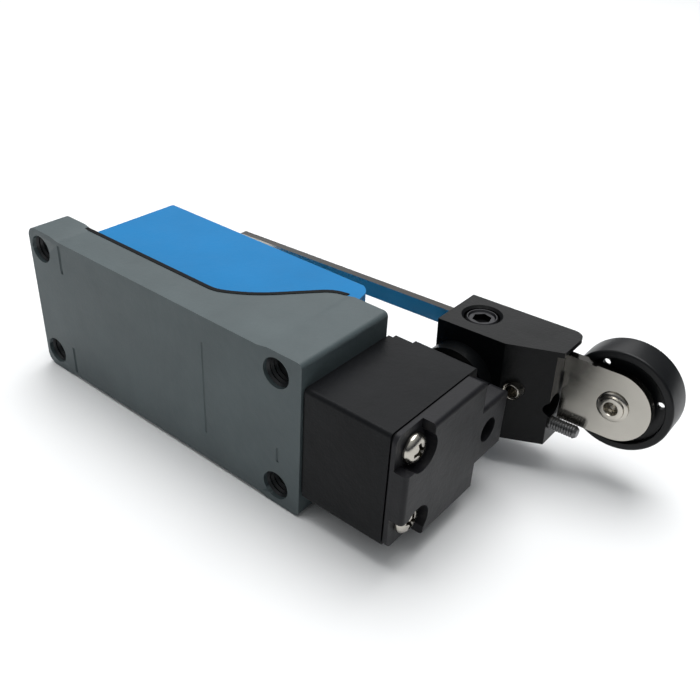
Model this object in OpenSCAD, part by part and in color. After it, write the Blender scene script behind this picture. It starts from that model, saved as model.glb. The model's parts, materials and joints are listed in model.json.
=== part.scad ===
// Rotary limit switch with an adjustable roller lever.
// X runs along the body from the cable end to the head, Y away from the mounting face, Z across the body.
// The origin is the middle of the four mounting holes, on the mounting face.

/* [Mounting] */
// Distance between the mounting holes along the body
hole_dx = 56; // [55.8:0.1:56.2]
// Distance between the mounting holes across the body
hole_dz = 21; // [20.8:0.1:21.2]
// Radius of the tapped holes in the mounting face
tapped_r = 2.5; // [2.4:0.05:2.55]
// Radius of the through holes behind the tapped ones
through_r = 2.15; // [2.1:0.05:2.25]
// Depth of the tapped stretch
tapped_depth = 6; // [5:0.1:6.2]

/* [Case] */
// Cable end of the case
case_x0 = -31.2; // [-31.5:0.1:-31]
// Head end of the case
case_x1 = 32.8; // [32.6:0.1:33]
// Half width of the case between its end pads
case_half_w = 13.7; // [13.5:0.1:13.8]
// Half width of the case at its end pads
pad_half_w = 14.1; // [14:0.1:14.3]
// Thickness of the flange at the cable end
flange_t = 7.2; // [7:0.1:7.5]
// Height of the flat stretch of the parting face
seat_y = 6.4; // [6.2:0.1:6.8]
// Thickness of the case floor
floor_t = 2; // [1.8:0.1:2.2]

/* [Cover] */
// Cable end of the cover
cover_x0 = -21.2; // [-21.4:0.1:-21]
// Front face of the cover
cover_y = 24.7; // [24.5:0.1:25]
// Thickness of the gasket under the cover
gasket_t = 0.8; // [0.6:0.1:1]
// Wall of the cover
cover_wall = 1.7; // [1.6:0.1:1.9]

/* [Head] */
// Half height of the head
head_half_h = 10.1; // [10:0.1:10.2]
// Back face of the head
head_y0 = 0.3; // [0.2:0.1:0.4]
// Front face of the head
head_y1 = 21.8; // [21.6:0.1:22]
// Front edge of the cap
cap_y1 = 19.9; // [19.6:0.1:20.2]
// Seam between the head body and its cap
seam_x = 48; // [47.9:0.1:48.1]
// Free end of the cap
cap_x1 = 51.2; // [51.1:0.1:51.4]
// Half height of the shaft boss
shaft_boss_h = 5.2; // [5.1:0.1:5.4]
// Free end of the shaft boss
shaft_boss_y = 27.3; // [27.1:0.1:27.3]

/* [Lever] */
// Distance of the shaft from the middle of the mounting holes
shaft_x = 40; // [39.9:0.1:40.1]
// Radius of the lever shaft
shaft_r = 3; // [2.9:0.05:3]
// Angle at which the block is clamped on the shaft, in degrees
lever_tilt = 2.3; // [0:0.1:3]
// Near face of the lever block
block_y0 = 31.5; // [31.4:0.1:31.6]
// Depth of the lever block
block_depth = 11; // [10.9:0.1:11.2]
// Half height of the lever block
block_half_h = 9; // [8.9:0.1:9.2]
// Near face of the arm strip
arm_y = 38; // [37.9:0.1:38.1]
// Thickness of the arm strip
arm_t = 1.5; // [1.4:0.05:1.5]
// Length of the arm's tail behind the shaft
tail_len = 57; // [50:1:60]
// Distance from the shaft to the roller axle with the arm pushed in
roller_dist = 23.9; // [23.8:0.1:24.2]
// Radius of the roller
roller_r = 8.75; // [8.5:0.05:8.8]
// Width of the roller
roller_w = 5.5; // [5.4:0.1:6]

/* [Hidden] */
$fn = 64;

over = 1; // cutters run this far past what they cut
snug = 0.02; // radial play of a fit between pieces that don't move
running = 0.05; // radial play of a running fit
slot_play = 0.08; // play of the arm in its slot

// Colours
grey_paint = [0.36, 0.42, 0.46];
cover_blue = [0.16, 0.5, 0.82];
rubber_black = [0.05, 0.05, 0.06];
head_black = [0.1, 0.1, 0.12];
nickel = [0.8, 0.78, 0.74];
steel = [0.7, 0.68, 0.64];
bronze = [0.66, 0.48, 0.28];
brass = [0.8, 0.66, 0.32];
switch_cream = [0.82, 0.78, 0.66];

// Mounting hole centres, seen as [x, z]
hole_xz = [for (sx = [-1, 1], sz = [-1, 1]) [sx * hole_dx / 2, sz * hole_dz / 2]];
pad_len = 6.5; // length of the wider pads at both ends
pad_slope = 2; // they run out over this length
cable_corner_r = 2;
head_end_corner_r = 0.9;

// The parting face: a flat seat, two hollow arcs of growing radius, a slope, and a round shoulder
bend_x = 7.2;
bend_r1 = 6;
bend_a1 = 28;
bend_r2 = 22;
bend_a2 = 50;
slope_len = 7.3;
shoulder_r = 5;
bend_c1 = [bend_x, seat_y + bend_r1];
bend_c2 = bend_c1 + (bend_r1 - bend_r2) * [sin(bend_a1), -cos(bend_a1)];
slope_start = bend_c2 + bend_r2 * [sin(bend_a2), -cos(bend_a2)];
slope_end = slope_start + slope_len * [cos(bend_a2), sin(bend_a2)];
shoulder_c = slope_end + shoulder_r * [sin(bend_a2), -cos(bend_a2)];
case_y = shoulder_c[1] + shoulder_r;

function arc(c, r, a0, a1, n = 8) =
    [for (i = [0 : n]) let (a = a0 + (a1 - a0) * i / n) c + r * [cos(a), sin(a)]];

// The parting face moved outwards by t, from the cable end to the top of the shoulder
function parting(t) = concat(
    arc(bend_c1, bend_r1 - t, -90, -90 + bend_a1, 5),
    arc(bend_c2, bend_r2 - t, -90 + bend_a1, -90 + bend_a2, 6),
    arc(shoulder_c, shoulder_r + t, 90 + bend_a2, 90, 6));

function backwards(v) = [for (i = [len(v) - 1 : -1 : 0]) v[i]];

flange_x1 = -23.6; // inner edge of the flange's raised top
gasket_x1 = 24.6; // head end of the gasket
cover_x1 = 26.9; // head end of the cover at its foot
cover_nose_r = 3.6;
cover_edge_r = 0.9;

// Room inside the case and cover
room_x0 = -19.4;
room_x1 = 24;
room_half_w = 11.8;
room_y1 = cover_y - cover_wall;

// Posts for the cover screws, as [x, z]
post_xz = [[-17.2, 9.2], [18.6, -9.2]];
post_r = 2.2;
post_y = 22.6;
cover_screw_r = 1.4;
cover_screw_head_r = 2.6;
cover_screw_sink = 1.1;

// Plunger line
plunger_y = 7.5;
plunger_r = 2.2;
collar_r = 3.5;
spring_room_r = 3.9;
spring_room_x = 26.5;
spring_wire_r = 0.28;

// Cable inlet
inlet_y = 15.4;
cable_r = 3;

// Head
head_x0 = 33.2; // behind the head gasket
cap_x0 = seam_x + 0.3; // in front of the cap gasket
shaft_boss_z = -0.3; // the boss sits this much off the shaft's line
head_corner_r = 0.7;
cap_corner_r = 1.4;
cap_edge_r = 0.7; // the cap's long edges are round towards its end
shoulder_x = 37.2; // the head's front edges are lowered from the case to here
shoulder_y = 19.8;
shoulder_drop = 0.9;
cam_room_x0 = 34.8;
cam_room_y = [5.2, 14];
cam_room_h = 5.1;
cap_screw_yz = [for (s = [-1, 1]) [4.1, s * 6.4]];
cap_screw_seat = 49;
cap_screw_head_r = 2.35;
cap_screw_head_t = 1.5;
cap_screw_r = 1.2;
cap_screw_x0 = 40;
notch_r = 2.95;
notch_lip = 0.9; // the notch's flat sides lie this much inside its round
grub_y = 22;
grub_r = 1.95;
fixing_yz = [for (s = [-1, 1]) [16.8, s * 6.2]];
fixing_r = 1.4;
fixing_x1 = 37.5;

// Shaft
bushing_r = 4.1;
bushing_y1 = 25;
seal_y1 = 26.9;
spigot_r = 2.4;
spigot_y0 = 1.4;
spigot_y1 = 5.1;
groove_y = [27.5, 28.2];
groove_r = 2.5;
clip_r = 4.7;
hub_r = 6.2;
hub_y0 = 28.6;
cam_r = 4.8;
cam_flat = 3.6;
cam_y = [5.4, 9.6];
cam_pin_r = 0.8;

// Block
block_x0 = -4.9;
block_x1 = 15;
block_lip_x1 = 16.1; // a thin lip at the top reaches out over the arm
block_lip_t = 0.9;
block_bevel_x0 = 7.6; // the bevel on the near side starts here
block_bevel_y1 = 34.9; // and meets the free end here
block_y1 = block_y0 + block_depth;
set_screw_y = 37.2;
set_screw_r = 3;
pinch_y = 36.5;
pinch_z = -5.3;
pinch_r = 1.1;
pinch_head_r = 2.1;
pinch_x1 = 19.8;
dowel_xz = [9.7, 0.9];
dowel_r = 1.5;
dowel_bore_r = 1;
end_hole_yz = [36.6, -2];
end_hole_r = 2.1;

// Arm, seen from the shaft
arm_top = 7;
plate_z0 = -5;
tail_z0 = 4;
plate_x0 = 15.3;
plate_r = (arm_top - plate_z0) / 2;
axle_z = (arm_top + plate_z0) / 2;
axle_hole_r = 1.6;
axle_r = 2.5;
axle_collar_r = 2.55;
axle_collar_t = 0.9;
roller_y0 = arm_y + arm_t + 0.3;
roller_y1 = roller_y0 + roller_w;

// Switch
base_x = [-14, 15.5];
base_y = [floor_t + 0.03, 9.6];
base_half_w = 9;
contact_room_x = [-4, 9.5];
contact_room_y0 = 4.6;
contact_room_h = 7.6;
bar_y0 = 8.8;
bar_z = [3.4, 6.6];
bar_t = 0.8;
bridge_x = 2;
travel_end_x = 0.58; // face of the normally open contacts
pin_r = 1.2;
terminal_x = [-9.5, 12.6];
terminal_z = 5;
terminal_r = 1.2;

// ---- shapes used by several pieces ----

// A flat shape given in x and z, pulled out from y0 to y1
module along_y(y0, y1) {
    translate([0, y1, 0]) rotate([90, 0, 0]) linear_extrude(y1 - y0) children();
}

// A flat shape given in y and z, pulled out from x0 to x1
module along_x(x0, x1) {
    translate([x0, 0, 0]) rotate([90, 0, 90]) linear_extrude(x1 - x0) children();
}

// A flat shape given in x and y, pulled out from z0 to z1
module along_z(z0, z1) {
    translate([0, 0, z0]) linear_extrude(z1 - z0) children();
}

module rod_x(x0, x1, yz, r) {
    translate([x0, yz[0], yz[1]]) rotate([0, 90, 0]) cylinder(h = x1 - x0, r = r);
}

module rod_y(y0, y1, xz, r) {
    translate([xz[0], y0, xz[1]]) rotate([-90, 0, 0]) cylinder(h = y1 - y0, r = r);
}

module rod_z(z0, z1, xy, r) {
    translate([xy[0], xy[1], z0]) cylinder(h = z1 - z0, r = r);
}

module cone_y(y0, y1, xz, r0, r1) {
    translate([xz[0], y0, xz[1]]) rotate([-90, 0, 0]) cylinder(h = y1 - y0, r1 = r0, r2 = r1);
}

// A box from its lowest to its highest corner
module box(low, high) {
    translate(low) cube(high - low);
}

// A rectangle with round corners
module round_rect(low, high, r) {
    translate([low[0] + r, low[1]]) square([high[0] - low[0] - 2 * r, high[1] - low[1]]);
    translate([low[0], low[1] + r]) square([high[0] - low[0], high[1] - low[1] - 2 * r]);
    for (x = [low[0] + r, high[0] - r], y = [low[1] + r, high[1] - r])
        translate([x, y]) circle(r);
}

// A pan-head screw with a cross recess: the shank runs along -Z from 0, the head along +Z
module pan_screw(shank_r, shank_len, head_r, head_t) {
    edge = head_t * 0.45;
    recess_l = head_r * 1.15;
    recess_w = head_r * 0.26;
    translate([0, 0, -shank_len]) cylinder(h = shank_len, r = shank_r);
    difference() {
        union() {
            cylinder(h = head_t - edge, r = head_r);
            translate([0, 0, head_t - edge]) cylinder(h = edge, r1 = head_r, r2 = head_r * 0.72);
        }
        for (a = [0, 90])
            rotate([0, 0, a]) translate([-recess_l / 2, -recess_w / 2, head_t * 0.4])
                cube([recess_l, recess_w, head_t]);
    }
}

// A coil spring along +X from 0, as one swept tube
module coil(length, coil_r, wire_r, turns) {
    sides = 8;
    steps = turns * 14;
    pitch_angle = atan2(length - 2 * wire_r, turns * 2 * PI * coil_r);
    rings = [for (i = [0 : steps]) let (
        a = 360 * turns * i / steps,
        mid = [wire_r + (length - 2 * wire_r) * i / steps, coil_r * cos(a), coil_r * sin(a)],
        outwards = [0, cos(a), sin(a)],
        sideways = [cos(pitch_angle), sin(pitch_angle) * sin(a), -sin(pitch_angle) * cos(a)])
        [for (k = [0 : sides - 1]) let (b = 360 * k / sides)
            mid + wire_r * (cos(b) * outwards + sin(b) * sideways)]];
    points = [for (ring = rings, p = ring) p];
    walls = [for (i = [0 : steps - 1], k = [0 : sides - 1]) let (
        a = i * sides + k, b = i * sides + (k + 1) % sides)
        [a, b, b + sides, a + sides]];
    first = [for (k = [sides - 1 : -1 : 0]) k];
    last = [for (k = [0 : sides - 1]) steps * sides + k];
    polyhedron(points, concat([first], walls, [last]), convexity = 8);
}

// The lever's own frame: x along the arm from the shaft, z square to it, tilted about the shaft
module on_lever() {
    translate([shaft_x, 0, 0]) rotate([0, -lever_tilt, 0]) children();
}

// ---- housing ----

// Half of the case seen from behind, on the +Z side: wide at both ends, a little narrower between
function case_half() = concat(
    arc([case_x0 + cable_corner_r, pad_half_w - cable_corner_r], cable_corner_r, 180, 90),
    [[case_x0 + pad_len, pad_half_w], [case_x0 + pad_len + pad_slope, case_half_w]],
    [[case_x1 - pad_len - pad_slope, case_half_w], [case_x1 - pad_len, pad_half_w]],
    arc([case_x1 - head_end_corner_r, pad_half_w - head_end_corner_r], head_end_corner_r, 90, 0));

module case_back() {
    polygon(concat(case_half(), backwards([for (p = case_half()) [p[0], -p[1]]])));
}

// The case seen from the side
module case_side() {
    polygon(concat(
        [[case_x0, 0], [case_x1, 0], [case_x1, case_y]],
        backwards(parting(0)),
        [[flange_x1, seat_y], [flange_x1, flange_t], [case_x0, flange_t]]));
}

module case() {
    color(grey_paint) difference() {
        union() {
            difference() {
                intersection() {
                    along_y(0, case_y) case_back();
                    along_z(-pad_half_w, pad_half_w) case_side();
                }
                box([room_x0, floor_t, -room_half_w], [room_x1, case_y + over, room_half_w]);
            }
            for (p = post_xz) rod_y(floor_t - 0.5, post_y, p, post_r);
            rod_y(floor_t - 0.5, floor_t + 2.6, [-16.8, -7.4], 2.5);
        }
        for (p = hole_xz) {
            rod_y(-over, tapped_depth, p, tapped_r);
            rod_y(tapped_depth - 0.1, case_y + over, p, through_r);
        }
        for (p = post_xz) rod_y(post_y - 9, post_y + over, p, cover_screw_r + snug);
        rod_y(0.8, floor_t + 3, [-16.8, -7.4], 1.4 + snug);
        rod_x(room_x1 - over, case_x1 + over, [plunger_y, 0], plunger_r + running);
        rod_x(spring_room_x, case_x1 + over, [plunger_y, 0], spring_room_r);
        for (p = fixing_yz) rod_x(room_x1 - over, case_x1 + over, p, fixing_r + 0.2);
    }
}

// The cover seen from the side
module cover_side() {
    foot = case_y + 0.02;
    polygon(concat(
        [for (p = parting(gasket_t)) if (p[0] < gasket_x1) p],
        [[gasket_x1 + 0.1, case_y + gasket_t], [gasket_x1 + 0.1, foot], [cover_x1, foot]],
        arc([cover_x1 - cover_nose_r - 0.4, cover_y - cover_nose_r], cover_nose_r, 5, 90),
        arc([cover_x0 + cover_edge_r, cover_y - cover_edge_r], cover_edge_r, 90, 180, 5),
        [[cover_x0, seat_y + gasket_t]]));
}

module cover() {
    edge = 0.5;
    color(cover_blue) difference() {
        union() {
            difference() {
                intersection() {
                    along_z(-case_half_w, case_half_w) cover_side();
                    along_x(cover_x0, cover_x1)
                        round_rect([0, -case_half_w], [cover_y, case_half_w], edge);
                }
                box([cover_x0 + cover_wall, 0, -case_half_w + cover_wall],
                    [gasket_x1 + 0.6, room_y1, case_half_w - cover_wall]);
            }
            for (p = post_xz) rod_y(post_y + 0.05, cover_y - 0.5, p, cover_screw_head_r + 1);
        }
        for (p = post_xz) {
            rod_y(post_y - over, cover_y + over, p, cover_screw_r + 0.2);
            rod_y(cover_y - cover_screw_sink, cover_y + over, p, cover_screw_head_r + 0.3);
        }
        rod_x(cover_x0 - over, cover_x0 + cover_wall + over, [inlet_y, 0], 5.5);
        // shallow field for a label
        box([-12, cover_y - 0.25, -8], [12, cover_y + over, 8]);
    }
}

module cover_gasket() {
    color(rubber_black) difference() {
        along_z(-case_half_w - 0.1, case_half_w + 0.1) polygon(concat(
            [[flange_x1 + 0.03, seat_y + snug]],
            [for (p = parting(snug)) if (p[0] < gasket_x1) p],
            [[gasket_x1, case_y + snug], [gasket_x1, case_y + gasket_t - snug]],
            backwards([for (p = parting(gasket_t - snug)) if (p[0] < gasket_x1) p]),
            [[flange_x1 + 0.03, seat_y + gasket_t - snug]]));
        box([cover_x0 + cover_wall, 0, -case_half_w + cover_wall],
            [room_x1 - 1, cover_y, case_half_w - cover_wall]);
    }
}

module cover_screws() {
    color(nickel) for (p = post_xz)
        translate([p[0], cover_y - cover_screw_sink, p[1]]) rotate([-90, 0, 0])
            pan_screw(cover_screw_r, 9, cover_screw_head_r, 1.5);
}

module cable_grommet() {
    wall_x1 = cover_x0 + cover_wall;
    color(rubber_black) difference() {
        union() {
            rod_x(cover_x0 - 1.7, cover_x0 - snug, [inlet_y, 0], 6.4);
            rod_x(cover_x0 - 1, wall_x1 + 1, [inlet_y, 0], 5.5 - snug);
            rod_x(wall_x1 + snug, wall_x1 + 1.4, [inlet_y, 0], 6.5);
        }
        rod_x(cover_x0 - 3, wall_x1 + 3, [inlet_y, 0], cable_r);
    }
}

module grommet_washer() {
    washer_x0 = cover_x0 + cover_wall + 1.4 + snug;
    color(steel) difference() {
        rod_x(washer_x0, washer_x0 + 0.8, [inlet_y, 0], 6.3);
        rod_x(washer_x0 - over, washer_x0 + 2, [inlet_y, 0], 4.2);
    }
}

module ground_screw() {
    color(nickel) translate([-16.8, floor_t + 2.6 + snug, -7.4]) rotate([-90, 0, 0])
        pan_screw(1.4, 3.4, 2.4, 1.5);
}

// ---- head ----

// The head seen from its free end: a block with the shaft boss on its front side
module head_outline(front_y, inset = 0) {
    round_rect([head_y0 + inset, -head_half_h + inset],
        [front_y - inset, head_half_h - inset], head_corner_r);
    round_rect([front_y - 4, shaft_boss_z - shaft_boss_h + inset],
        [shaft_boss_y - inset, shaft_boss_z + shaft_boss_h - inset], cap_corner_r);
}

module head_gasket() {
    color(rubber_black) difference() {
        along_x(case_x1 + snug, head_x0 - snug)
            round_rect([head_y0 + 0.3, -head_half_h + 0.3], [case_y - 0.3, head_half_h - 0.3], head_corner_r);
        rod_x(case_x1 - over, head_x0 + over, [plunger_y, 0], spring_room_r);
        for (p = fixing_yz) rod_x(case_x1 - over, head_x0 + over, p, fixing_r + 0.2);
    }
}

module head_body() {
    color(head_black) difference() {
        along_x(head_x0, seam_x) head_outline(head_y1);
        for (s = [-1, 1])
            box([head_x0 - over, shoulder_y, s > 0 ? head_half_h - shoulder_drop : -head_half_h - over],
                [shoulder_x, head_y1 + over, s > 0 ? head_half_h + over : shoulder_drop - head_half_h]);
        box([cam_room_x0, cam_room_y[0], -cam_room_h], [seam_x + over, cam_room_y[1], cam_room_h]);
        rod_x(head_x0 - over, cam_room_x0 + over, [plunger_y, 0], plunger_r + running);
        rod_y(cam_room_y[1] - over, shaft_boss_y + over, [shaft_x, 0], bushing_r + snug);
        rod_y(spigot_y0 - 0.2, cam_room_y[0] + over, [shaft_x, 0], spigot_r + running);
        for (p = cap_screw_yz) rod_x(cap_screw_x0 - 0.5, seam_x + over, p, cap_screw_r + snug);
        for (p = fixing_yz) rod_x(head_x0 - over, fixing_x1 + 0.5, p, fixing_r + snug);
        rod_x(shaft_x + bushing_r, seam_x + over, [grub_y, 0], grub_r + snug);
    }
}

module cap_gasket() {
    color(rubber_black) difference() {
        along_x(seam_x + snug, cap_x0 - snug) head_outline(cap_y1, 0.3);
        box([seam_x - over, cam_room_y[0], -cam_room_h], [cap_x0 + over, cam_room_y[1], cam_room_h]);
        for (p = cap_screw_yz) rod_x(seam_x - over, cap_x0 + over, p, cap_screw_r + 0.2);
        rod_x(seam_x - over, cap_x0 + over, [grub_y, 0], grub_r + 0.1);
    }
}

// A plate of the cap with its end edges round, given by its lowest and highest corner in y and z
module cap_plate(low, high) {
    back = cap_x0 - cap_edge_r;
    intersection() {
        along_x(cap_x0, cap_x1) round_rect(low, high, cap_corner_r);
        along_y(low[0], high[0]) round_rect([back, low[1]], [cap_x1, high[1]], cap_edge_r);
        along_z(low[1], high[1]) round_rect([back, low[0]], [cap_x1, high[0]], cap_edge_r);
    }
}

module head_cap() {
    color(head_black) difference() {
        union() {
            cap_plate([head_y0, -head_half_h], [cap_y1, head_half_h]);
            cap_plate([cap_y1 - 6, shaft_boss_z - shaft_boss_h], [shaft_boss_y, shaft_boss_z + shaft_boss_h]);
        }
        for (p = cap_screw_yz) {
            up = p[1] > 0;
            reach = notch_r - notch_lip;
            rod_x(cap_x0 - over, cap_x1 + over, p, cap_screw_r + 0.2);
            rod_x(cap_screw_seat, cap_x1 + over, p, notch_r);
            // the notch opens to the corner
            box([cap_screw_seat, head_y0 - over, up ? p[1] : -head_half_h - over],
                [cap_x1 + over, p[0] + reach, up ? head_half_h + over : p[1]]);
            box([cap_screw_seat, head_y0 - over, up ? p[1] - reach : p[1] - over],
                [cap_x1 + over, p[0], up ? p[1] + over : p[1] + reach]);
        }
        rod_x(cap_x0 - over, cap_x1 + over, [grub_y, 0], grub_r + 0.1);
    }
}

module cap_screws() {
    color(nickel) for (p = cap_screw_yz)
        translate([cap_screw_seat + snug, p[0], p[1]]) rotate([0, 90, 0]) rotate([0, 0, 20])
            pan_screw(cap_screw_r, cap_screw_seat - cap_screw_x0, cap_screw_head_r, cap_screw_head_t);
}

module bushing_grub_screw() {
    color(head_black) difference() {
        rod_x(shaft_x + bushing_r + 0.3, seam_x - 0.8, [grub_y, 0], grub_r);
        translate([seam_x - 2, grub_y, 0]) rotate([0, 90, 0]) cylinder(h = 3, r = 1.15, $fn = 6);
    }
}

module head_fixing_screws() {
    color(nickel) for (p = fixing_yz)
        translate([room_x1 - snug, p[0], p[1]]) rotate([0, -90, 0])
            pan_screw(fixing_r, fixing_x1 - room_x1, 2.5, 1.7);
}

module shaft_bushing() {
    color(bronze) difference() {
        rod_y(cam_room_y[1], bushing_y1, [shaft_x, 0], bushing_r);
        rod_y(cam_room_y[1] - over, bushing_y1 + over, [shaft_x, 0], shaft_r + running);
    }
}

module shaft_seal() {
    color(rubber_black) difference() {
        rod_y(bushing_y1 + snug, seal_y1, [shaft_x, 0], bushing_r);
        rod_y(bushing_y1 - over, seal_y1 + over, [shaft_x, 0], shaft_r + running);
    }
}

module plunger_seal() {
    color(rubber_black) difference() {
        rod_x(room_x1 - 1.4, room_x1 - snug, [plunger_y, 0], 3.6);
        rod_x(room_x1 - 2, room_x1 + over, [plunger_y, 0], plunger_r + running);
    }
}

// ---- built-in switch ----

module switch_base() {
    color(switch_cream) difference() {
        box([base_x[0], base_y[0], -base_half_w], [base_x[1], base_y[1], base_half_w]);
        box([contact_room_x[0], contact_room_y0, -contact_room_h],
            [contact_room_x[1], base_y[1] + over, contact_room_h]);
        for (s = [-1, 1]) {
            z0 = s > 0 ? bar_z[0] - 0.1 : -bar_z[1] - 0.1;
            box([base_x[0] + 0.6, bar_y0 - 0.02, z0],
                [base_x[1] - 0.5, base_y[1] + over, z0 + bar_z[1] - bar_z[0] + 0.2]);
            for (x = terminal_x) rod_y(4, base_y[1], [x, s * terminal_z], terminal_r + snug);
        }
        rod_x(contact_room_x[1] - over, base_x[1] + over, [plunger_y, 0], pin_r + running);
    }
}

module switch_lid() {
    color(head_black)
        box([-6.5, base_y[1] + snug, -base_half_w + 0.2], [9.8, base_y[1] + 1.6, base_half_w - 0.2]);
}

// One contact strip on each side: a bar in the base's groove, ending in a tab that faces the bridge
module contact_pair(bar_x0, bar_x1, tab_x, screw_x) {
    for (s = [-1, 1]) {
        z0 = s > 0 ? bar_z[0] : -bar_z[1];
        z1 = z0 + bar_z[1] - bar_z[0];
        difference() {
            union() {
                box([bar_x0, bar_y0, z0], [bar_x1, base_y[1], z1]);
                box([tab_x, contact_room_y0 + 1.4, z0], [tab_x + bar_t, base_y[1], z1]);
            }
            rod_y(bar_y0 - over, base_y[1] + over, [screw_x, s * terminal_z], terminal_r + snug);
        }
    }
}

module no_contacts() {
    color(brass) contact_pair(base_x[0] + 0.8, travel_end_x, travel_end_x - bar_t, terminal_x[0]);
}

module nc_contacts() {
    tab_x = bridge_x + bar_t + snug;
    color(brass) contact_pair(tab_x, base_x[1] - 0.7, tab_x, terminal_x[1]);
}

module terminal_screws() {
    color(nickel) for (x = terminal_x, s = [-1, 1])
        translate([x, base_y[1] + snug, s * terminal_z]) rotate([-90, 0, 0])
            pan_screw(terminal_r, 5, 2.3, 1.4);
}

module actuator_pin() {
    color(switch_cream) rod_x(bridge_x - 1, 21.85, [plunger_y, 0], pin_r);
}

module contact_bridge() {
    color(brass) difference() {
        box([bridge_x, contact_room_y0 + 1.6, -bar_z[1]], [bridge_x + bar_t, bar_y0 - 0.4, bar_z[1]]);
        rod_x(bridge_x - over, bridge_x + 2, [plunger_y, 0], pin_r + snug);
    }
}

module contact_spring() {
    color(steel) translate([contact_room_x[0] + snug, plunger_y, 0])
        coil(bridge_x - contact_room_x[0] - 2 * snug, 1.7, 0.2, 5);
}

// ---- plunger ----

module cam_plunger() {
    color(steel) {
        rod_x(21.9, cam_room_x0 - 0.1, [plunger_y, 0], plunger_r);
        rod_x(31.1, case_x1 - 0.2, [plunger_y, 0], collar_r);
    }
}

module return_spring() {
    color(steel) translate([spring_room_x + snug, plunger_y, 0])
        coil(31.1 - spring_room_x - 2 * snug, 2.95, spring_wire_r, 4);
}

// ---- lever ----

module lever_shaft() {
    color(steel) difference() {
        union() {
            rod_y(spigot_y0, spigot_y1 + 0.3, [shaft_x, 0], spigot_r);
            rod_y(spigot_y1 + 0.2, groove_y[0], [shaft_x, 0], shaft_r);
            rod_y(groove_y[0] - 0.1, groove_y[1] + 0.1, [shaft_x, 0], groove_r);
            rod_y(groove_y[1], block_y1 + 0.5, [shaft_x, 0], shaft_r);
        }
        rod_x(shaft_x - 6, shaft_x + 6, [plunger_y, 0], cam_pin_r + snug);
    }
}

module cam() {
    color(steel) difference() {
        rod_y(cam_y[0], cam_y[1], [shaft_x, 0], cam_r);
        rod_y(cam_y[0] - over, cam_y[1] + over, [shaft_x, 0], shaft_r + snug);
        box([shaft_x - cam_r - over, cam_y[0] - over, -cam_r], [shaft_x - cam_flat, cam_y[1] + over, cam_r]);
        rod_x(shaft_x - 6, shaft_x + 6, [plunger_y, 0], cam_pin_r + snug);
    }
}

module cam_pin() {
    color(nickel) rod_x(shaft_x - cam_flat + 0.1, shaft_x + cam_r - 0.2, [plunger_y, 0], cam_pin_r);
}

module shaft_clip() {
    color(nickel) difference() {
        rod_y(groove_y[0] + 0.05, groove_y[1] - 0.05, [shaft_x, 0], clip_r);
        rod_y(groove_y[0] - over, groove_y[1] + over, [shaft_x, 0], groove_r + snug);
        box([shaft_x - 1.2, groove_y[0] - over, -clip_r - over], [shaft_x + 1.2, groove_y[1] + over, 0]);
    }
}

// The block seen from above, with its free end at x1
module block_plan(x1) {
    far_r = 2;
    polygon(concat(
        [[block_x0, block_y0], [block_bevel_x0, block_y0], [x1, block_bevel_y1]],
        arc([x1 - far_r, block_y1 - far_r], far_r, 0, 90, 6),
        [[block_x0, block_y1]]));
}

module lever_block() {
    color(head_black) on_lever() difference() {
        union() {
            along_z(-block_half_h, block_half_h) block_plan(block_x1);
            along_z(block_half_h - block_lip_t, block_half_h) block_plan(block_lip_x1);
            rod_y(hub_y0, block_y0 + over, [0, 0], hub_r);
        }
        rod_y(hub_y0 - over, block_y1 + over, [0, 0], shaft_r + snug);
        // clamping slit below the shaft
        box([-0.4, hub_y0 - over, -block_half_h - over], [0.4, block_y1 + over, -shaft_r + 0.5]);
        // slot for the arm's tail
        box([block_x0 - over, arm_y - slot_play, tail_z0 - slot_play],
            [block_x1 + over, arm_y + arm_t + slot_play, arm_top + slot_play]);
        // tapped hole for the set screw, with a countersink
        rod_z(arm_top, block_half_h + over, [0, set_screw_y], set_screw_r + snug);
        translate([0, set_screw_y, block_half_h - 0.4])
            cylinder(h = 0.41, r1 = set_screw_r + snug, r2 = set_screw_r + 0.45);
        // pinch screw across the slit
        rod_x(block_x0 - over, block_x1 + over, [pinch_y, pinch_z], pinch_r + snug);
        rod_x(block_x0 - over, block_x0 + 2, [pinch_y, pinch_z], pinch_head_r + 0.2);
        rod_y(block_y0 - over, block_y0 + 4, dowel_xz, dowel_r + snug);
        rod_x(block_x1 - 3.2, block_x1 + over, end_hole_yz, end_hole_r);
    }
}

module arm_set_screw() {
    socket_r = 1.73;
    z0 = arm_top + slot_play + 0.05;
    z1 = block_half_h - 0.3;
    color(head_black) on_lever() translate([0, set_screw_y, 0]) difference() {
        union() {
            translate([0, 0, z0]) cylinder(h = z1 - 0.4 - z0, r = set_screw_r);
            translate([0, 0, z1 - 0.4]) cylinder(h = 0.4, r1 = set_screw_r, r2 = set_screw_r - 0.55);
        }
        translate([0, 0, z0 + 0.3]) cylinder(h = z1, r = socket_r, $fn = 6);
    }
}

module pinch_screw() {
    head_t = 1.7;
    color(nickel) on_lever() difference() {
        union() {
            rod_x(block_x0 + 0.2, block_x0 + 2 - snug, [pinch_y, pinch_z], pinch_head_r);
            rod_x(block_x0 + 1, pinch_x1, [pinch_y, pinch_z], pinch_r);
        }
        translate([block_x0 - over, pinch_y, pinch_z]) rotate([0, 90, 0])
            cylinder(h = head_t + 0.6, r = 1.1, $fn = 6);
    }
}

module block_dowel() {
    color(nickel) on_lever() difference() {
        rod_y(block_y0 - 0.3, block_y0 + 3.9, dowel_xz, dowel_r);
        rod_y(block_y0 - over, block_y0 + 3, dowel_xz, dowel_bore_r);
    }
}

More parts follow.
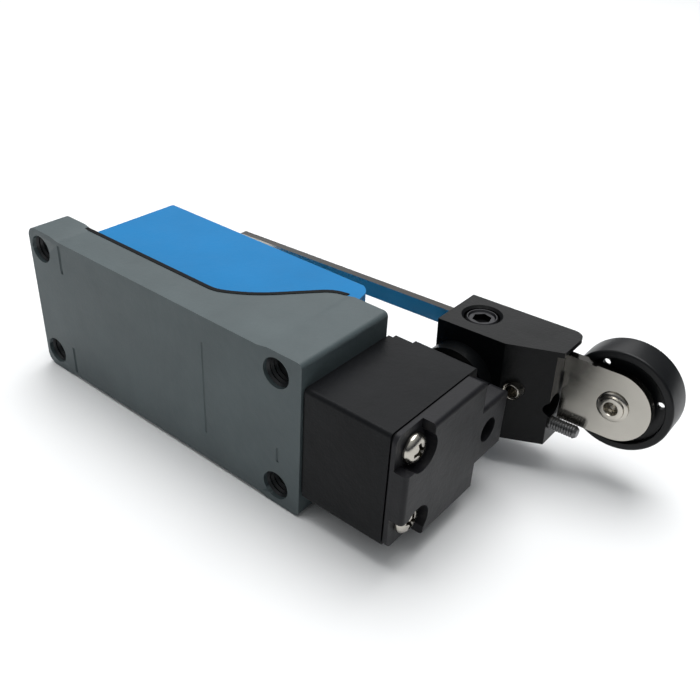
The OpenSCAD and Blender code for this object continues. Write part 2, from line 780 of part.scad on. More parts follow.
// The arm seen from the front: a round-ended plate with a narrow tail along its upper edge
module arm_outline() {
    difference() {
        union() {
            translate([-tail_len, tail_z0]) square([tail_len + plate_x0 + 1, arm_top - tail_z0]);
            translate([plate_x0, plate_z0]) square([roller_dist - plate_x0, 2 * plate_r]);
            translate([roller_dist, axle_z]) circle(plate_r);
        }
        translate([roller_dist, axle_z]) circle(axle_hole_r);
        translate([plate_x0 + 4.1, arm_top - 0.2]) square([0.8, 1]);
    }
}

module lever_arm() {
    color(steel) on_lever() along_y(arm_y, arm_y + arm_t) arm_outline();
}

module roller_axle() {
    centre = [roller_dist, axle_z];
    color(nickel) on_lever() difference() {
        union() {
            rod_y(arm_y - axle_collar_t, arm_y - snug, centre, axle_collar_r);
            rod_y(arm_y - 0.5, arm_y + arm_t + 0.1, centre, axle_hole_r - snug);
            rod_y(arm_y + arm_t + snug, roller_y1 + 0.3, centre, axle_r);
            rod_y(roller_y1 + 0.2, roller_y1 + 0.8, centre, 3.4);
        }
        rod_y(arm_y - over, arm_y + 0.2, centre, 1.1);
    }
}

module roller() {
    centre = [roller_dist, axle_z];
    web_r = [3.6, 7.5];
    web_y = [roller_y0 + 0.9, roller_y0 + 1.7];
    hole_r = 0.6;
    hole_circle_r = 6.45;
    hole_angles = [16, 122, 196, 302]; // two opposite pairs
    edge = 0.35;
    color(rubber_black) on_lever() difference() {
        union() {
            rod_y(roller_y0 + edge, roller_y1 - edge, centre, roller_r);
            cone_y(roller_y0, roller_y0 + edge, centre, roller_r - edge, roller_r);
            cone_y(roller_y1 - edge, roller_y1, centre, roller_r, roller_r - edge);
        }
        rod_y(roller_y0 - over, roller_y1 + over, centre, axle_r + running);
        for (y = [[roller_y0 - over, web_y[0]], [web_y[1], roller_y1 + over]]) difference() {
            rod_y(y[0], y[1], centre, web_r[1]);
            rod_y(y[0] - over, y[1] + over, centre, web_r[0]);
        }
        for (a = hole_angles - lever_tilt * [1, 1, 1, 1])
            rod_y(roller_y0 - over, roller_y1 + over, centre + hole_circle_r * [cos(a), sin(a)], hole_r);
    }
}

case();
cover();
cover_gasket();
cover_screws();
cable_grommet();
grommet_washer();
head_gasket();
head_body();
cap_gasket();
head_cap();
cap_screws();
bushing_grub_screw();
head_fixing_screws();
shaft_bushing();
shaft_seal();
plunger_seal();
switch_base();
switch_lid();
no_contacts();
nc_contacts();
terminal_screws();
ground_screw();
lever_shaft();
cam();
cam_pin();
shaft_clip();
lever_block();
arm_set_screw();
pinch_screw();
block_dowel();
lever_arm();
roller_axle();
roller();
cam_plunger();
return_spring();
actuator_pin();
contact_bridge();
contact_spring();
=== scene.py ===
"""Looks of the rotary limit switch: detailed pieces, materials, floor, light and camera."""

import json
import math

import bmesh
import bpy
from mathutils import Matrix, Vector


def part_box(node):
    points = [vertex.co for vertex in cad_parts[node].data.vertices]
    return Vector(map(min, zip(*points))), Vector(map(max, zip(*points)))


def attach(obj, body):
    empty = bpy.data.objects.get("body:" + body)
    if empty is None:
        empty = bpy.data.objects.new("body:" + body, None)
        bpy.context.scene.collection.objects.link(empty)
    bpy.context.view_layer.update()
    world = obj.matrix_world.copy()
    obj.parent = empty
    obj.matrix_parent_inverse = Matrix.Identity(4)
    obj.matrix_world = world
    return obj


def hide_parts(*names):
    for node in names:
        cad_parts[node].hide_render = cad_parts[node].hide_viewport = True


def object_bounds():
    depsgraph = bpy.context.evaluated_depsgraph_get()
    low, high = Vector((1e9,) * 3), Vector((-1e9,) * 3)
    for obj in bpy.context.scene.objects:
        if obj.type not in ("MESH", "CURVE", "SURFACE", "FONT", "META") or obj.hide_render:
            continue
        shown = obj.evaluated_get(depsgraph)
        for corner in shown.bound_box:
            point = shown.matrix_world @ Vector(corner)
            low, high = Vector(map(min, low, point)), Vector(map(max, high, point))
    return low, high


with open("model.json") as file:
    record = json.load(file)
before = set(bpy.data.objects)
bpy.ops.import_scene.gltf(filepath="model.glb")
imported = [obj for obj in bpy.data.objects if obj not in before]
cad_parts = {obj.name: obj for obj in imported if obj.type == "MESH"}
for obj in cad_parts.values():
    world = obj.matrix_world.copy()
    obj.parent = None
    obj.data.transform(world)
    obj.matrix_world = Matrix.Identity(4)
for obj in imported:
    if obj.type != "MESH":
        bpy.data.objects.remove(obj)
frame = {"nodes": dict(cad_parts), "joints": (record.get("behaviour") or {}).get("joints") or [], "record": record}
cad_low, cad_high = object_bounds()
nodes = frame["nodes"]

MM = 0.001
X, Y, Z = Vector((1, 0, 0)), Vector((0, 1, 0)), Vector((0, 0, 1))


# ---------------------------------------------------------------- places, from the frame

def middle(node):
    """Centre of a CAD node's box."""
    low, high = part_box(node)
    return (low + high) / 2


def joint(name):
    """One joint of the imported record."""
    return next(j for j in frame["joints"] if j["name"] == name)


ARM_WAY = Vector(joint("arm_slide")["axis"]).normalized()
LEVER_UP = ARM_WAY.cross(Y)
SHAFT_AT = Vector(joint("lever_turn")["pos_m"])
LEVER_TILT = math.atan2(ARM_WAY.z, ARM_WAY.x)
MOUNTING = next(m for m in frame["record"]["mounts"] if m["name"] == "mounting_holes")["dims"]


def on_lever(along, up, y):
    """A point given in the lever's own tilted frame, from the shaft, in metres."""
    return Vector((SHAFT_AT.x, y, SHAFT_AT.z)) + ARM_WAY * along + LEVER_UP * up


# ---------------------------------------------------------------- materials

def new_material(name):
    """A node material, its node tree and its shader."""
    material = bpy.data.materials.new(name)
    material.use_nodes = True
    tree = material.node_tree
    shader = tree.nodes["Principled BSDF"]
    return material, tree, shader


def object_coordinates(tree, scale=(1, 1, 1), turn=(0, 0, 0)):
    """Object coordinates in metres, stretched and turned."""
    source = tree.nodes.new("ShaderNodeTexCoord")
    mapping = tree.nodes.new("ShaderNodeMapping")
    mapping.inputs["Scale"].default_value = scale
    mapping.inputs["Rotation"].default_value = turn
    tree.links.new(source.outputs["Object"], mapping.inputs["Vector"])
    return mapping.outputs["Vector"]


def noise(tree, vector, scale, detail=3.0, roughness=0.55):
    """A noise texture's 0 to 1 value. scale is in features per metre."""
    texture = tree.nodes.new("ShaderNodeTexNoise")
    texture.inputs["Scale"].default_value = scale
    texture.inputs["Detail"].default_value = detail
    texture.inputs["Roughness"].default_value = roughness
    tree.links.new(vector, texture.inputs["Vector"])
    return texture.outputs["Fac"]


def ramp(tree, value, stops):
    """A colour ramp over a value. stops is a list of (place, colour)."""
    node = tree.nodes.new("ShaderNodeValToRGB")
    elements = node.color_ramp.elements
    while len(elements) > len(stops):
        elements.remove(elements[-1])
    while len(elements) < len(stops):
        elements.new(1.0)
    for element, (place, colour) in zip(elements, stops):
        element.position = place
        element.color = (*colour, 1.0)
    tree.links.new(value, node.inputs["Fac"])
    return node.outputs["Color"]


def spread(tree, value, low, high):
    """Maps 0..1 to low..high."""
    node = tree.nodes.new("ShaderNodeMapRange")
    node.inputs["To Min"].default_value = low
    node.inputs["To Max"].default_value = high
    tree.links.new(value, node.inputs["Value"])
    return node.outputs["Result"]


def bump(tree, shader, heights):
    """Chains bumps. heights is a list of (value, strength, distance in metres)."""
    normal = None
    for value, strength, distance in heights:
        node = tree.nodes.new("ShaderNodeBump")
        node.inputs["Strength"].default_value = strength
        node.inputs["Distance"].default_value = distance
        tree.links.new(value, node.inputs["Height"])
        if normal is not None:
            tree.links.new(normal, node.inputs["Normal"])
        normal = node.outputs["Normal"]
    tree.links.new(normal, shader.inputs["Normal"])


def shade(colour, factor):
    """A colour made darker or lighter by a factor."""
    return tuple(min(1.0, c * factor) for c in colour)


def painted(name, colour, roughness, grain, orange_peel=0.25, gloss=0.5, spread_colour=0.1):
    """Sprayed paint on a casting: faint cloudiness, a fine grain, and soft waviness of the film."""
    material, tree, shader = new_material(name)
    where = object_coordinates(tree)
    clouds = noise(tree, where, 90, 4)
    fine = noise(tree, where, 2600, 2)
    peel = noise(tree, where, 700, 1)
    darker, lighter = shade(colour, 1 - spread_colour), shade(colour, 1 + spread_colour)
    tree.links.new(ramp(tree, clouds, [(0.3, darker), (0.7, lighter)]), shader.inputs["Base Color"])
    tree.links.new(spread(tree, noise(tree, where, 260, 3), roughness - 0.06, roughness + 0.06),
                   shader.inputs["Roughness"])
    shader.inputs["Specular IOR Level"].default_value = gloss
    bump(tree, shader, [(peel, orange_peel, 0.00012), (fine, grain, 0.00005)])
    return material


def rubber(name, colour):
    """Matt black rubber with a dusty cast."""
    material, tree, shader = new_material(name)
    where = object_coordinates(tree)
    dust = noise(tree, where, 400, 4)
    tree.links.new(ramp(tree, dust, [(0.35, colour), (0.8, shade(colour, 1.9))]), shader.inputs["Base Color"])
    tree.links.new(spread(tree, dust, 0.62, 0.8), shader.inputs["Roughness"])
    shader.inputs["Specular IOR Level"].default_value = 0.15
    bump(tree, shader, [(noise(tree, where, 1800, 2), 0.25, 0.00004)])
    return material


def metal(name, colour, roughness, lines=None, line_strength=0.2, spots=0.06):
    """Bare or plated metal. lines is (scale, turn), which stretch the noise into brush marks."""
    material, tree, shader = new_material(name)
    shader.inputs["Metallic"].default_value = 1.0
    brushed = object_coordinates(tree, *lines) if lines else object_coordinates(tree)
    plain = object_coordinates(tree)
    marks = noise(tree, brushed, 900, 4, 0.7)
    stain = noise(tree, plain, 180, 3)
    darker, lighter = shade(colour, 1 - spots), shade(colour, 1 + spots)
    tree.links.new(ramp(tree, stain, [(0.3, darker), (0.7, lighter)]), shader.inputs["Base Color"])
    tree.links.new(spread(tree, marks, roughness * 0.75, roughness * 1.3), shader.inputs["Roughness"])
    bump(tree, shader, [(marks, line_strength, 0.00003)])
    return material


def paint_edge_shade(material, colour):
    """Paints shade, nearly black, on the faces of a punched strip that look up or down, which are its narrow
    sheared edges.
    """
    tree = material.node_tree
    shader = next(n for n in tree.nodes if n.type == "BSDF_PRINCIPLED")
    source = tree.nodes.new("ShaderNodeTexCoord")
    parts = tree.nodes.new("ShaderNodeSeparateXYZ")
    tree.links.new(source.outputs["Normal"], parts.inputs["Vector"])
    upright = tree.nodes.new("ShaderNodeMath")
    upright.operation = "ABSOLUTE"
    tree.links.new(parts.outputs["Z"], upright.inputs[0])
    # How much painted shade a face gets, from how far it looks up or down
    shade_amount = spread(tree, upright.outputs["Value"], -4.0, 0.97)
    mix = tree.nodes.new("ShaderNodeMix")
    mix.data_type = "RGBA"
    mix.clamp_factor = True
    plain = shader.inputs["Base Color"].links[0].from_socket
    tree.links.new(shade_amount, mix.inputs["Factor"])
    tree.links.new(plain, mix.inputs[6])
    mix.inputs[7].default_value = (*colour, 1)
    tree.links.new(mix.outputs[2], shader.inputs["Base Color"])
    return material


def plastic(name, colour, roughness, grain=0.15, gloss=0.5):
    """Moulded plastic with a slight sheen."""
    material, tree, shader = new_material(name)
    where = object_coordinates(tree)
    cloud = noise(tree, where, 150, 3)
    tree.links.new(ramp(tree, cloud, [(0.3, shade(colour, 0.93)), (0.7, shade(colour, 1.07))]),
                   shader.inputs["Base Color"])
    tree.links.new(spread(tree, noise(tree, where, 500, 2), roughness - 0.05, roughness + 0.05),
                   shader.inputs["Roughness"])
    shader.inputs["Specular IOR Level"].default_value = gloss
    bump(tree, shader, [(noise(tree, where, 2200, 2), grain, 0.00004)])
    return material


def make_materials():
    """Every material by name: one for each slot of the record, and the ones that LOOKS names."""
    along_arm = (0, LEVER_TILT, 0)
    return {
        "case_paint": painted("case_paint", (0.064, 0.084, 0.089), 0.5, 0.5, 0.3, 0.35),
        "cover_paint": painted("cover_paint", (0.006, 0.165, 0.40), 0.5, 0.3, 0.25, 0.12, 0.05),
        "black_rubber": rubber("black_rubber", (0.003, 0.003, 0.0034)),
        "head_paint": painted("head_paint", (0.005, 0.0055, 0.0065), 0.4, 0.5, 0.3, 0.1, 0.2),
        # Cap: its own charcoal finish, and lighter than the head partly as painted light for the light on its end
        # face
        "cap_paint_and_painted_light": painted("cap_paint_and_painted_light", (0.010, 0.010, 0.012), 0.42, 0.5, 0.3, 0.18, 0.15),
        "block_paint": painted(
            "block_paint", (0.0024, 0.0028, 0.0032), 0.34, 0.5, 0.25, 0.14, 0.2),
        "nickel_screws": metal("nickel_screws", (0.47, 0.445, 0.40), 0.2, None, 0.12, 0.12),
        "black_screws": metal("black_screws", (0.035, 0.035, 0.038), 0.3, None, 0.2),
        # Painted shade: the strip's faces that look up or down are mixed almost fully to near-black
        "stainless": paint_edge_shade(
            metal("stainless", (0.45, 0.43, 0.39), 0.17, ((0.05, 1, 1), along_arm), 0.3),
            (0.012, 0.011, 0.010)),
        "steel": metal("steel", (0.4, 0.4, 0.39), 0.26, ((1, 0.06, 1), (0, 0, 0)), 0.2),
        "dull_steel": metal("dull_steel", (0.15, 0.15, 0.15), 0.34, None, 0.2),
        # Painted shade: near-black for the shade deep inside the tapped mounting holes
        "painted_shade_bore": painted("painted_shade_bore", (0.012, 0.014, 0.016), 0.4, 0.5, 0.2, 0.4),
        "bronze": metal("bronze", (0.48, 0.30, 0.15), 0.36),
        "contact_brass": metal("contact_brass", (0.68, 0.50, 0.22), 0.24),
        "switch_plastic": plastic("switch_plastic", (0.62, 0.55, 0.38), 0.5),
        "switch_lid_plastic": plastic("switch_lid_plastic", (0.03, 0.03, 0.034), 0.45),
        "roller_plastic": plastic("roller_plastic", (0.0035, 0.004, 0.0048), 0.36, 0.2, 0.25),
    }


materials = make_materials()

# Pieces whose surface looks unlike the rest of their material
LOOKS = {
    # head_cap: own charcoal finish, partly painted light
    "head_cap": "cap_paint_and_painted_light",
    "lever_block": "block_paint",
    # tapped_threads: painted shade of the deep bores
    "tapped_threads": "painted_shade_bore",
    "pinch": "dull_steel",
}


# ---------------------------------------------------------------- mesh helpers

SMOOTH_ANGLE = math.radians(30)
ON_AXIS = 1e-7  # a profile point nearer than this, in metres, is one point on the axis


def to_object(name, mesh_data):
    """Links a bmesh as a new object, smooth but for edges sharper than SMOOTH_ANGLE."""
    mesh = bpy.data.meshes.new(name)
    mesh_data.to_mesh(mesh)
    mesh_data.free()
    piece = bpy.data.objects.new(name, mesh)
    bpy.context.scene.collection.objects.link(piece)
    mesh.shade_smooth()
    mesh.set_sharp_from_angle(angle=SMOOTH_ANGLE)
    return piece


def lathe(name, profile, at, axis, segments=96):
    """Turns a profile of (radius, height) about an axis through at.

    The profile runs from axis to axis, or it closes on itself."""
    out = Vector(axis).normalized()
    side = out.orthogonal().normalized()
    other = out.cross(side)
    work = bmesh.new()
    rings = []
    for radius, height in profile:
        if radius < ON_AXIS:
            rings.append([work.verts.new(Vector(at) + out * height)])
            continue
        ring = []
        for i in range(segments):
            a = 2 * math.pi * i / segments
            spoke = side * math.cos(a) + other * math.sin(a)
            ring.append(work.verts.new(Vector(at) + out * height + spoke * radius))
        rings.append(ring)
    closed = len(rings[0]) > 1 and len(rings[-1]) > 1
    pairs = list(zip(rings, rings[1:])) + ([(rings[-1], rings[0])] if closed else [])
    for low, high in pairs:
        for i in range(segments):
            k = (i + 1) % segments
            if len(low) == 1 and len(high) == 1:
                continue
            if len(low) == 1:
                work.faces.new((low[0], high[k], high[i]))
            elif len(high) == 1:
                work.faces.new((low[i], low[k], high[0]))
            else:
                work.faces.new((low[i], low[k], high[k], high[i]))
    bmesh.ops.recalc_face_normals(work, faces=work.faces)
    return to_object(name, work)


def box_piece(name, centre, size, axes=(X, Y, Z)):
    """A box given by its centre, its size along three axes, and those axes."""
    work = bmesh.new()
    bmesh.ops.create_cube(work, size=1)
    turn = Matrix([[axes[c][r] * size[c] for c in range(3)] for r in range(3)]).to_4x4()
    bmesh.ops.transform(work, matrix=Matrix.Translation(Vector(centre)) @ turn, verts=work.verts)
    bmesh.ops.recalc_face_normals(work, faces=work.faces)
    return to_object(name, work)


def hexagon(name, across_corners, at, axis, length):
    """A hexagonal bar from at along axis."""
    radius = across_corners / 2
    return lathe(name, [(0, 0), (radius, 0), (radius, length), (0, length)], at, axis, 6)


def join(name, parts):
    """Makes one piece of several."""
    work = bmesh.new()
    for part in parts:
        work.from_mesh(part.data)
        bpy.data.objects.remove(part)
    return to_object(name, work)


def cut(piece, cutters):
    """Takes the cutters out of the piece and keeps the result as its mesh."""
    for cutter in cutters:
        modifier = piece.modifiers.new("cut", "BOOLEAN")
        modifier.operation = "DIFFERENCE"
        modifier.solver = "EXACT"
        modifier.object = cutter
    graph = bpy.context.evaluated_depsgraph_get()
    mesh = bpy.data.meshes.new_from_object(piece.evaluated_get(graph))
    piece.modifiers.clear()
    piece.data = mesh
    for cutter in cutters:
        bpy.data.objects.remove(cutter)
    piece.data.set_sharp_from_angle(angle=SMOOTH_ANGLE)
    return piece


def round_edges(piece, width):
    """Bevels every edge sharper than SMOOTH_ANGLE."""
    bevel = piece.modifiers.new("round_edges", "BEVEL")
    bevel.width = width
    bevel.segments = 3
    bevel.limit_method = "ANGLE"
    bevel.angle_limit = SMOOTH_ANGLE
    bevel.harden_normals = True
    bevel.use_clamp_overlap = True
    bevel.miter_outer = "MITER_ARC"


def paint(piece, material_slot):
    """Gives a piece one material and names the record's slot it comes from."""
    piece.data.materials.clear()
    piece.data.materials.append(materials[material_slot])


def place(piece, body, material_slot, *stands_for):
    """Finishes a piece: material, slot, body, and the CAD nodes it stands for."""
    paint(piece, material_slot)
    if piece.name in LOOKS:
        piece.data.materials[0] = materials[LOOKS[piece.name]]
    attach(piece, body)
    if stands_for:
        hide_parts(*stands_for)
    return piece


def arc(centre, radius, start, end, steps):
    """Points of an arc in (radius, height), angles in degrees."""
    return [(centre[0] + radius * math.cos(math.radians(start + (end - start) * i / steps)),
             centre[1] + radius * math.sin(math.radians(start + (end - start) * i / steps)))
            for i in range(steps + 1)]


# ---------------------------------------------------------------- CAD nodes that stay

SLOT_OF = {row["node"]: row["material_slot"] for row in frame["record"]["subparts"]}

# Width of the rounding on each CAD node's edges, in mm. The rest get HAIR.
HAIR = 0.08
EDGE_ROUND = {
    "case": 0.4, "cover": 0.5, "head_body": 0.35, "head_cap": 0.3, "lever_block": 0.35, "lever_arm": 0.12,
    "cover_gasket": 0.1, "cable_grommet": 0.3, "roller_axle": 0.12, "pinch_screw": 0.15, "block_dowel": 0.2,
    "shaft_clip": 0.1, "arm_set_screw": 0.08, "lever_shaft": 0.2, "switch_base": 0.2, "switch_lid": 0.3,
}


def finish_cad_nodes():
    """Gives every CAD node its material, and merges flat faces and rounds edges on all but the springs."""
    for name, piece in nodes.items():
        slot_name = SLOT_OF[name]
        look = materials[LOOKS.get(name, slot_name)]
        for place_in_list in piece.material_slots:
            place_in_list.material = look
        if not piece.material_slots:
            piece.data.materials.append(look)
        if name in ("return_spring", "contact_spring"):
            continue
        merge = piece.modifiers.new("merge_flats", "DECIMATE")
        merge.decimate_type = "DISSOLVE"
        merge.angle_limit = math.radians(0.4)
        round_edges(piece, EDGE_ROUND.get(name, HAIR) * MM)


finish_cad_nodes()


# ---------------------------------------------------------------- screws

def thread(radius, low, high, pitch=0.5 * MM, depth=0.16 * MM):
    """Profile of a thread between two heights, as (radius, height)."""
    turns = max(1, round((high - low) / pitch))
    step = (high - low) / turns
    points = []
    for i in range(turns):
        points += [(radius - depth, low + step * i), (radius, low + step * (i + 0.35)),
                   (radius, low + step * (i + 0.6))]
    return points + [(radius - depth, high)]


def pan_screw(name, seat, axis, head_r, head_t, shank_r, shank_len, turn=0.0):
    """A pan-head screw with a cross recess. seat is under the head, axis points out of the head."""
    dome = [(head_r * math.cos(a) ** 0.8, head_t * (0.25 + 0.75 * math.sin(a)))
            for a in (math.pi / 2 * i / 12 for i in range(12))]
    profile = [(0, -shank_len), (shank_r * 0.7, -shank_len)]
    profile += thread(shank_r, -shank_len + 0.2 * MM, -0.3 * MM) + [(shank_r * 0.85, 0)]
    profile += [(head_r * 0.95, 0), (head_r, head_t * 0.08)] + dome + [(0, head_t)]
    body = lathe(name, profile, seat, axis, 64)
    out = Vector(axis).normalized()
    side = out.orthogonal().normalized()
    side = Matrix.Rotation(turn, 3, out) @ side
    other = out.cross(side)
    depth = head_t * 0.62
    centre = Vector(seat) + out * (head_t + 0.2 * MM - depth / 2)
    size = (head_r * 1.15, head_r * 0.27, depth + 0.4 * MM)
    cutters = [box_piece("slot_a", centre, size, (side, other, out)),
               box_piece("slot_b", centre, size, (other, -side, out)),
               lathe("slot_core", [(0, 0), (head_r * 0.06, 0), (head_r * 0.3, depth), (0, depth)],
                     Vector(seat) + out * (head_t + 0.01 * MM - depth), out, 24)]
    return cut(body, cutters)


def make_screws():
    """Cover screws and cap screws with domed, cross-recessed heads and threads."""
    low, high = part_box("cap_screws")
    head_r = (high.y - low.y) / 2
    head_t = 1.5 * MM
    seats = [Vector((high.x - head_t, middle("cap_screws").y, z)) for z in (low.z + head_r, high.z - head_r)]
    caps = [pan_screw("cap_screw", seat, X, head_r, head_t, 1.2 * MM, high.x - head_t - low.x, turn)
            for seat, turn in zip(seats, (0.5, 0.95))]
    place(join("cap_screw_pair", caps), "housing", "nickel_screws", "cap_screws")

    low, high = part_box("cover_screws")
    head_r = 2.6 * MM
    head_t = 1.5 * MM
    seats = [Vector((low.x + head_r, high.y - head_t, high.z - head_r)),
             Vector((high.x - head_r, high.y - head_t, low.z + head_r))]
    heads = [pan_screw("cover_screw", seat, Y, head_r, head_t, 1.4 * MM, high.y - head_t - low.y, turn)
             for seat, turn in zip(seats, (0.2, 1.1))]
    place(join("cover_screw_pair", heads), "housing", "nickel_screws", "cover_screws")


def make_set_screw():
    """The set screw over the arm: threaded, with a hexagon socket."""
    height = 1.57 * MM
    radius = 3.0 * MM
    at = middle("arm_set_screw") - LEVER_UP * height / 2
    profile = [(0, 0), (radius - 0.3 * MM, 0)]
    profile += thread(radius, 0.1 * MM, height - 0.35 * MM, 0.5 * MM, 0.14 * MM)
    profile += [(radius - 0.35 * MM, height - 0.15 * MM), (radius - 0.5 * MM, height), (2.35 * MM, height),
                (2.1 * MM, height - 0.3 * MM), (0, height - 0.4 * MM)]
    body = lathe("set_screw", profile, at, LEVER_UP, 64)
    socket = hexagon("socket", 3.3 * MM, at + LEVER_UP * 0.25 * MM, LEVER_UP, height)
    place(cut(body, [socket]), "lever", "black_screws", "arm_set_screw")


def make_pinch_screw():
    """The screw that clamps the block: socket head on the far side, thread end standing out under the arm."""
    start = on_lever(-4.7 * MM, -5.3 * MM, 36.5 * MM)
    head_len = 1.78 * MM
    full = 24.5 * MM
    profile = [(0, 0), (1.9 * MM, 0), (2.1 * MM, 0.2 * MM), (2.1 * MM, head_len), (1.1 * MM, head_len)]
    profile += thread(1.1 * MM, 12 * MM, full - 0.3 * MM, 0.45 * MM, 0.13 * MM)
    profile += [(0.75 * MM, full), (0, full)]
    body = lathe("pinch", profile, start, ARM_WAY, 48)
    socket = hexagon("socket", 2.2 * MM, start - ARM_WAY * 0.5 * MM, ARM_WAY, 1.6 * MM)
    place(cut(body, [socket]), "lever", "nickel_screws", "pinch_screw")


def make_hole_threads():
    """Threads in the four tapped mounting holes, inside the bores."""
    bore_r = MOUNTING["hole_r_mm"] * MM
    parts = []
    for sx in (-0.5, 0.5):
        for sz in (-0.5, 0.5):
            at = Vector((sx * MOUNTING["spacing_x_mm"] * MM, 0, sz * MOUNTING["spacing_y_mm"] * MM))
            inner = [(bore_r - 0.02 * MM - (0.28 * MM if i % 2 else 0), (0.7 + 0.4 * i) * MM)
                     for i in range(14)]
            outer = [(bore_r - 0.01 * MM, inner[-1][1]), (bore_r - 0.01 * MM, inner[0][1])]
            parts.append(lathe("thread", inner + outer, at, Y, 48))
    # Through LOOKS these threads get the painted shade of the bores
    place(join("tapped_threads", parts), "housing", "case_paint")


def make_dowel():
    """The hollow pin in the near side of the block, its rim rolled round."""
    outer, bore, rim = 1.5 * MM, 1.0 * MM, 0.25 * MM
    length = 4.2 * MM
    at = middle("block_dowel")
    at.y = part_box("block_dowel")[0].y
    profile = [(0, 3.2 * MM), (bore, 3.2 * MM)] + arc((outer - rim, rim), rim, 180, 0, 10)
    profile += [(outer, length), (0, length)]
    place(lathe("rolled_pin", profile, at, Y, 48), "lever", "nickel_screws", "block_dowel")


make_screws()
make_set_screw()
make_dowel()
make_pinch_screw()
make_hole_threads()


# ---------------------------------------------------------------- roller and axle

def make_roller():
    """The moulded roller: rounded tread, dished web with four small holes, full-width hub."""
    low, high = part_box("roller")
    radius = (high.x - low.x) / 2
    width = high.y - low.y
    at = Vector((middle("roller").x, low.y, middle("roller").z))
    bore, hub, rim = 2.55 * MM, 3.6 * MM, 7.45 * MM
    web_near, web_far = 0.9 * MM, 1.7 * MM
    tiny = 0.12 * MM
    soft = 0.4 * MM
    profile = [(bore, tiny), (bore + tiny, 0), (hub - tiny, 0), (hub, tiny)]
    profile += [(hub, web_near - tiny), (hub + tiny, web_near)]
    profile += [(rim - tiny, web_near), (rim, web_near - tiny)]
    profile += [(rim, tiny), (rim + tiny, 0)]
    profile += arc((radius - soft, soft), soft, -90, 0, 6)
    profile += arc((radius - soft, width - soft), soft, 0, 90, 6)
    profile += [(rim + tiny, width), (rim, width - tiny), (rim, web_far + tiny), (rim - tiny, web_far)]
    profile += [(hub + tiny, web_far), (hub, web_far + tiny), (hub, width - tiny), (hub - tiny, width)]
    profile += [(bore + tiny, width), (bore, width - tiny)]
    body = lathe("moulded_roller", profile, at, Y, 128)
    holes = []
    for degrees in (16, 122, 196, 302):
        a = math.radians(degrees)
        centre = at + (X * math.cos(a) + Z * math.sin(a)) * 6.45 * MM
        holes.append(lathe("hole", [(0, 0), (0.6 * MM, 0), (0.6 * MM, web_far), (0, web_far)],
                           centre + Y * 0.4 * MM, Y, 24))
    place(cut(body, holes), "roller", "roller_plastic", "roller")


def make_axle():
    """The stepped rivet that the roller turns on, hollow at its near end."""
    low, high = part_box("roller_axle")
    at = Vector((middle("roller").x, low.y, middle("roller").z))
    length = high.y - low.y
    arm_near, arm_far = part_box("lever_arm")[0].y - low.y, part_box("lever_arm")[1].y - low.y
    head = length - 0.6 * MM
    far_r = (high.x - low.x) / 2
    profile = [(0, 2.0 * MM), (0.35 * MM, 1.95 * MM), (0.85 * MM, 1.5 * MM), (1.05 * MM, 0.25 * MM),
               (1.2 * MM, 0), (1.7 * MM, 0), (1.95 * MM, 0.12 * MM), (2.05 * MM, 0.4 * MM),
               (2.4 * MM, 0.5 * MM), (2.55 * MM, 0.62 * MM), (2.55 * MM, arm_near - 0.02 * MM),
               (1.58 * MM, arm_near - 0.02 * MM), (1.58 * MM, arm_far + 0.02 * MM),
               (2.4 * MM, arm_far + 0.02 * MM),
               (2.5 * MM, arm_far + 0.12 * MM), (2.5 * MM, head), (far_r, head)]
    profile += arc((far_r - 0.35 * MM, length - 0.35 * MM), 0.35 * MM, 0, 90, 5) + [(0, length)]
    place(lathe("hollow_axle", profile, at, Y, 64), "arm", "nickel_screws", "roller_axle")


make_roller()
make_axle()


# ---------------------------------------------------------------- case with its moulded marks

def groove(name, start, end, width):
    """A round-bottomed groove cutter along a line on the mounting face."""
    way = Vector(end) - Vector(start)
    return lathe(name, [(0, 0), (width / 2, 0), (width / 2, way.length), (0, way.length)], start, way, 12)


def make_case():
    """The casting, edges rounded, with the fine lines left in its back by the mould."""
    source = nodes["case"].evaluated_get(bpy.context.evaluated_depsgraph_get())
    body = bpy.data.objects.new("case_casting", bpy.data.meshes.new_from_object(source))
    bpy.context.scene.collection.objects.link(body)
    hole = MOUNTING["spacing_x_mm"] * MM / 2
    lines = [((-hole + 5.5 * MM, 7.6 * MM), (-hole + 5.5 * MM, 13.0 * MM), 0.75),
             ((-hole + 5.5 * MM, -13.0 * MM), (-hole + 5.5 * MM, -7.6 * MM), 0.75),
             ((12.7 * MM, -8.4 * MM), (12.7 * MM, 9.0 * MM), 0.45),
             ((hole + 0.35 * MM, -5.6 * MM), (hole + 0.35 * MM, -2.9 * MM), 0.6)]
    proud = 0.08 * MM
    cutters = [groove("line", (x0, -proud, z0), (x1, -proud, z1), width * MM)
               for (x0, z0), (x1, z1), width in lines]
    cut(body, cutters)
    body.data.shade_smooth()
    body.data.set_sharp_from_angle(angle=math.radians(35))
    flat = body.modifiers.new("flat_faces", "WEIGHTED_NORMAL")
    flat.keep_sharp = True
    place(body, "housing", "case_paint", "case")


make_case()


# ---------------------------------------------------------------- floor, light and camera

def make_floor():
    """A large plain pale floor just under the object."""
    work = bmesh.new()
    bmesh.ops.create_grid(work, x_segments=1, y_segments=1, size=3.0)
    floor = to_object("floor", work)
    floor.location.z = cad_low.z - 0.0002
    material, tree, shader = new_material("floor")
    where = object_coordinates(tree)
    cloud = noise(tree, where, 3, 2)
    tree.links.new(ramp(tree, cloud, [(0.3, (0.86, 0.865, 0.87)), (0.7, (0.89, 0.893, 0.895))]),
                   shader.inputs["Base Color"])
    shader.inputs["Roughness"].default_value = 0.9
    shader.inputs["Specular IOR Level"].default_value = 0.1
    floor.data.materials.append(material)


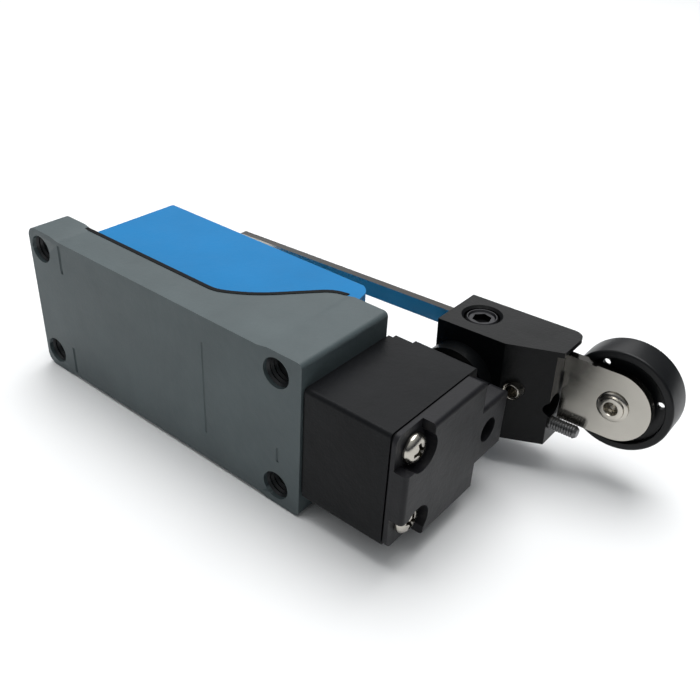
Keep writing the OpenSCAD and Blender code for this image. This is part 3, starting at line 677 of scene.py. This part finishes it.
def area_light(name, at, target, size, power):
    """A white rectangular lamp that faces the target. power is in watts."""
    data = bpy.data.lights.new(name, "AREA")
    data.shape = "RECTANGLE"
    data.size, data.size_y = size
    data.energy = power
    lamp = bpy.data.objects.new(name, data)
    bpy.context.scene.collection.objects.link(lamp)
    lamp.location = at
    lamp.rotation_mode = "QUATERNION"
    lamp.rotation_quaternion = (Vector(target) - Vector(at)).to_track_quat("-Z", "Y")


def make_lights():
    """A studio room that is bright overhead and dimmer at the sides, and three soft lamps."""
    world = bpy.data.worlds.new("studio")
    world.use_nodes = True
    tree = world.node_tree
    source = tree.nodes.new("ShaderNodeTexCoord")
    parts = tree.nodes.new("ShaderNodeSeparateXYZ")
    tree.links.new(source.outputs["Generated"], parts.inputs["Vector"])
    height = tree.nodes.new("ShaderNodeMapRange")
    height.inputs["From Min"].default_value = -0.1
    height.inputs["From Max"].default_value = 0.9
    tree.links.new(parts.outputs["Z"], height.inputs["Value"])
    below, side, overhead = (0.04, 0.045, 0.055), (0.10, 0.105, 0.12), (0.80, 0.82, 0.82)
    sky = ramp(tree, height.outputs["Result"], [(0.0, below), (0.35, side), (1.0, overhead)])
    tree.links.new(sky, tree.nodes["Background"].inputs["Color"])
    tree.nodes["Background"].inputs["Strength"].default_value = 0.75
    bpy.context.scene.world = world
    centre = (cad_low + cad_high) / 2
    area_light("overhead", centre + Vector((-0.05, 0.1, 0.6)), centre, (0.5, 0.5), 3.9)
    area_light("behind", centre + Vector((-0.4, 0.54, 0.43)), centre, (0.7, 0.4), 1.3)
    area_light("key", centre + Vector((-0.35, -0.5, 0.3)), centre, (0.35, 0.35), 0.2)


VIEW_AZIMUTH = math.radians(36.88)
VIEW_ELEVATION = math.radians(32.75)
VIEW_ROLL = math.radians(3.51)
CAMERA_AT = Vector((0.0936, -0.0704, 0.0767))
LENS = 42.51


def make_camera():
    """The camera stands close to the object, above its head end, on the side of the mounting face."""
    data = bpy.data.cameras.new("camera")
    data.sensor_width = 36.0
    data.lens = LENS
    data.clip_start = 0.005
    data.clip_end = 20.0
    camera = bpy.data.objects.new("camera", data)
    bpy.context.scene.collection.objects.link(camera)
    back = Vector((math.sin(VIEW_AZIMUTH) * math.cos(VIEW_ELEVATION),
                   -math.cos(VIEW_AZIMUTH) * math.cos(VIEW_ELEVATION), math.sin(VIEW_ELEVATION)))
    level = Vector((math.cos(VIEW_AZIMUTH), math.sin(VIEW_AZIMUTH), 0))
    upright = back.cross(level)
    right = level * math.cos(VIEW_ROLL) + upright * math.sin(VIEW_ROLL)
    up = back.cross(right)
    camera.matrix_world = Matrix((right, up, back)).transposed().to_4x4()
    camera.location = CAMERA_AT
    bpy.context.scene.camera = camera


make_floor()
make_lights()
make_camera()
bpy.context.scene.view_settings.view_transform = "Standard"
